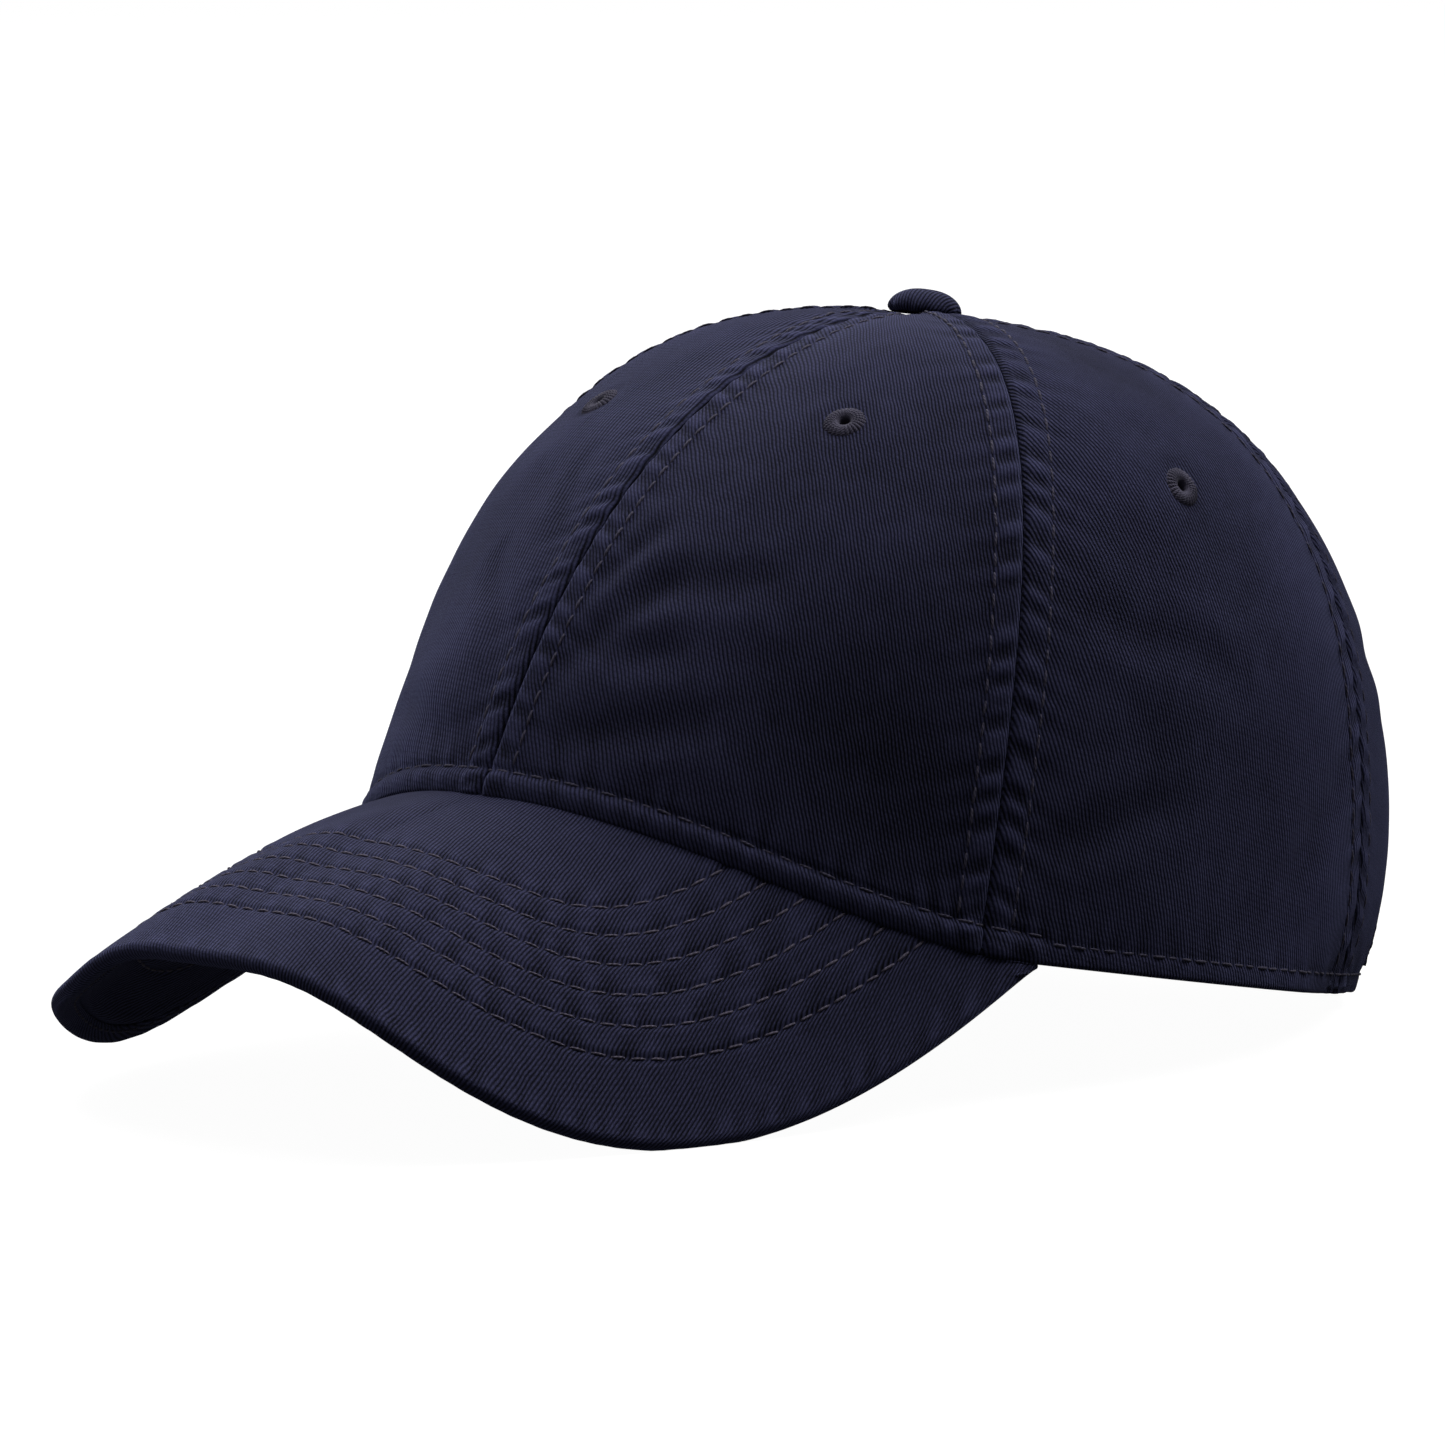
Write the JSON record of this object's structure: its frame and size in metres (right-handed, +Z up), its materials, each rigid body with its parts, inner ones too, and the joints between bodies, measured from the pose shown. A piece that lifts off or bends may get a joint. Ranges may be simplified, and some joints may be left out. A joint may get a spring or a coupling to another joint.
{
  "type": "baseball cap",
  "caption": "Soft cotton twill baseball cap with a curved brim, stitched eyelets, covered top button and a buckled back strap.",
  "frame": {"origin": "middle of the cap's bounding box on the table it stands on", "axes": "+Z up, -Y to the front of the brim, +X to the wearer's left"},
  "size_m": [0.1582, 0.2766, 0.1331],
  "materials": {
    "washed_twill": "washed cotton twill, matt",
    "thread": "matt polyester thread",
    "bias_tape": "matt cotton tape",
    "sweatband_cotton": "matt cotton twill",
    "pad_felt": "matt felt",
    "brim_board_plastic": "matt polyethylene sheet",
    "buckle_metal": "antiqued, satin",
    "button_steel": "pressed sheet",
    "label_satin": "woven satin, blank"
  },
  "bodies": {
    "cap": {"back_opening_binding": "bias_tape", "back_panel_left": "washed_twill", "back_panel_right": "washed_twill", "brim_board": "brim_board_plastic", "brim_bottom_cover": "washed_twill", "brim_top_cover": "washed_twill", "buckle_frame": "buckle_metal", "buckle_loop": "washed_twill", "buckle_pin": "buckle_metal", "care_label": "label_satin", "eyelet_back_left": "thread", "eyelet_back_right": "thread", "eyelet_front_left": "thread", "eyelet_front_right": "thread", "eyelet_side_left": "thread", "eyelet_side_right": "thread", "front_panel_left": "washed_twill", "front_panel_right": "washed_twill", "seam_tape_back": "bias_tape", "seam_tape_front": "bias_tape", "seam_tape_left_rear": "bias_tape", "seam_tape_left_side": "bias_tape", "seam_tape_right_rear": "bias_tape", "seam_tape_right_side": "bias_tape", "side_panel_left": "washed_twill", "side_panel_right": "washed_twill", "sweatband": "sweatband_cotton", "sweatband_pad": "pad_felt", "top_button_backing": "button_steel", "top_button_cover": "washed_twill", "top_button_shell": "button_steel"},
    "lever": {"buckle_lever": "buckle_metal"},
    "strap": {"closure_strap": "washed_twill"}
  },
  "joints": [
    {"name": "lever_hinge", "type": "hinge", "parent": "cap", "child": "lever", "pos_m": [0.0169, 0.12746, 0.01088], "axis": [0, 0.1848, 0.9828], "range_deg": [0, 100]},
    {"name": "strap_slide", "type": "hinge", "parent": "cap", "child": "strap", "pos_m": [0, 0.06424, 0.01005], "axis": [0, -0.1848, -0.9828], "range_deg": [0, 9]}
  ]
}
